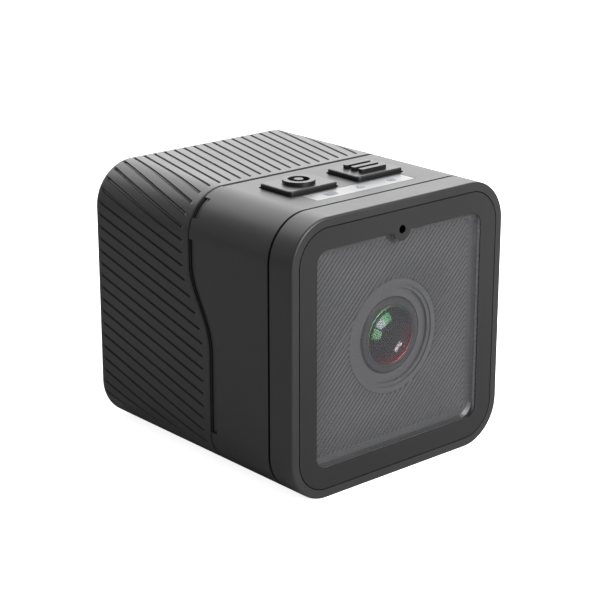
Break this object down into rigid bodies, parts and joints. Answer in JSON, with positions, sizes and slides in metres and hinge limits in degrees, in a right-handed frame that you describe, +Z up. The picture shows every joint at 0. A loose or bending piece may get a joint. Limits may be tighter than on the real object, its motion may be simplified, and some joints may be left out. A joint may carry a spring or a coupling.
{
  "type": "cube action camera",
  "caption": "Small cube action camera with a flush square front window, screwed-together housing, two top keys, a hinged port door, a memory card, a rear screen and a tripod thread.",
  "frame": {"origin": "middle of the footprint on the resting face", "axes": "+Z up, -Y towards what the lens looks at, +X towards the port door; the lens axis is along Y at half the body height"},
  "size_m": [0.0428, 0.047, 0.0441],
  "materials": {
    "housing_black": "fine spark-eroded satin, injection-moulded ABS/PC",
    "shell_black": "fine satin with helical grooves",
    "panel_black": "fine satin",
    "frame_grey": "unpainted glass-filled nylon",
    "window_glass": "clear hard-coated acrylic",
    "screen_cover": "clear cover glass over a dark screen",
    "printed_border": "screen-printed dark grey ink under hard coat",
    "adhesive": "black foam tape",
    "trim_plastic": "satin with fine slanting ribs",
    "lens_metal": "black anodised",
    "lens_glass": "polished and coated",
    "filter_glass": "infrared-cut coating",
    "sensor_silicon": "polished silicon under cover glass",
    "circuit_board": "green solder resist",
    "screw_steel": "zinc plated",
    "flex_film": "amber polyimide film",
    "seal_rubber": "moulded silicone rubber",
    "insert_brass": "turned and knurled",
    "key_black": "satin with raised marks",
    "switch_metal": "stamped cover",
    "strip_diffuser": "milky polycarbonate",
    "led_white": "moulded package",
    "port_steel": "stamped stainless",
    "port_plastic": "liquid-crystal polymer",
    "card_plastic": "moulded resin",
    "chip_black": "moulded epoxy",
    "spreader_aluminium": "rolled sheet",
    "battery_wrap": "foil pouch with tape",
    "lcd": "polariser film",
    "backlight": "white moulded frame"
  },
  "bodies": {
    "camera": {"front_bezel": "housing_black", "middle_housing": "housing_black", "rear_shell": "shell_black", "rear_panel": "panel_black", "rear_frame": "frame_grey", "chassis": "frame_grey", "lens_holder": "frame_grey", "front_window": "window_glass", "screen_glass": "screen_cover", "window_mask": "printed_border", "window_adhesive": "adhesive", "trim_plate": "trim_plastic", "lens_surround": "trim_plastic", "lens_barrel": "lens_metal", "lens_front_ring": "lens_metal", "lens_spacer": "lens_metal", "aperture_stop": "lens_metal", "lens_front_element": "lens_glass", "lens_middle_element": "lens_glass", "lens_rear_element": "lens_glass", "ir_filter": "filter_glass", "image_sensor": "sensor_silicon", "sensor_board": "circuit_board", "key_board": "circuit_board", "port_board": "circuit_board", "main_board": "circuit_board", "lens_holder_screws": "screw_steel", "bezel_screws": "screw_steel", "key_board_screws": "screw_steel", "board_screws": "screw_steel", "rear_screws": "screw_steel", "port_door_pin": "screw_steel", "sensor_flex": "flex_film", "screen_flex": "flex_film", "wifi_antenna": "flex_film", "shell_gasket_front": "seal_rubber", "shell_gasket_rear": "seal_rubber", "tripod_insert": "insert_brass", "key_switches": "switch_metal", "status_window": "strip_diffuser", "status_leds": "led_white", "usb_port": "port_steel", "card_slot": "port_steel", "shield_can": "port_steel", "usb_tongue": "port_plastic", "processor": "chip_black", "memory_chips": "chip_black", "microphone": "chip_black", "speaker": "chip_black", "heat_spreader": "spreader_aluminium", "battery": "battery_wrap", "lcd_panel": "lcd", "backlight_frame": "backlight"},
    "ok_key": {"ok_button": "key_black"},
    "menu_key": {"menu_button": "key_black"},
    "port_cover": {"port_door": "housing_black", "port_door_seal": "seal_rubber"},
    "card": {"memory_card": "card_plastic"}
  },
  "joints": [
    {"name": "ok_press", "type": "slide", "parent": "camera", "child": "ok_key", "axis": [0, 0, -1], "range_m": [0, 0.00035], "stiffness_N_per_m": 900, "springref_m": -0.0006},
    {"name": "menu_press", "type": "slide", "parent": "camera", "child": "menu_key", "axis": [0, 0, -1], "range_m": [0, 0.00035], "stiffness_N_per_m": 900, "springref_m": -0.0006},
    {"name": "door_swing", "type": "hinge", "parent": "camera", "child": "port_cover", "pos_m": [0.0203, -0.011, 0.0189], "axis": [0, 0, 1], "range_deg": [0, 90]},
    {"name": "card_slide", "type": "slide", "parent": "camera", "child": "card", "axis": [1, 0, 0], "range_m": [-0.0005, 0.0012]}
  ]
}
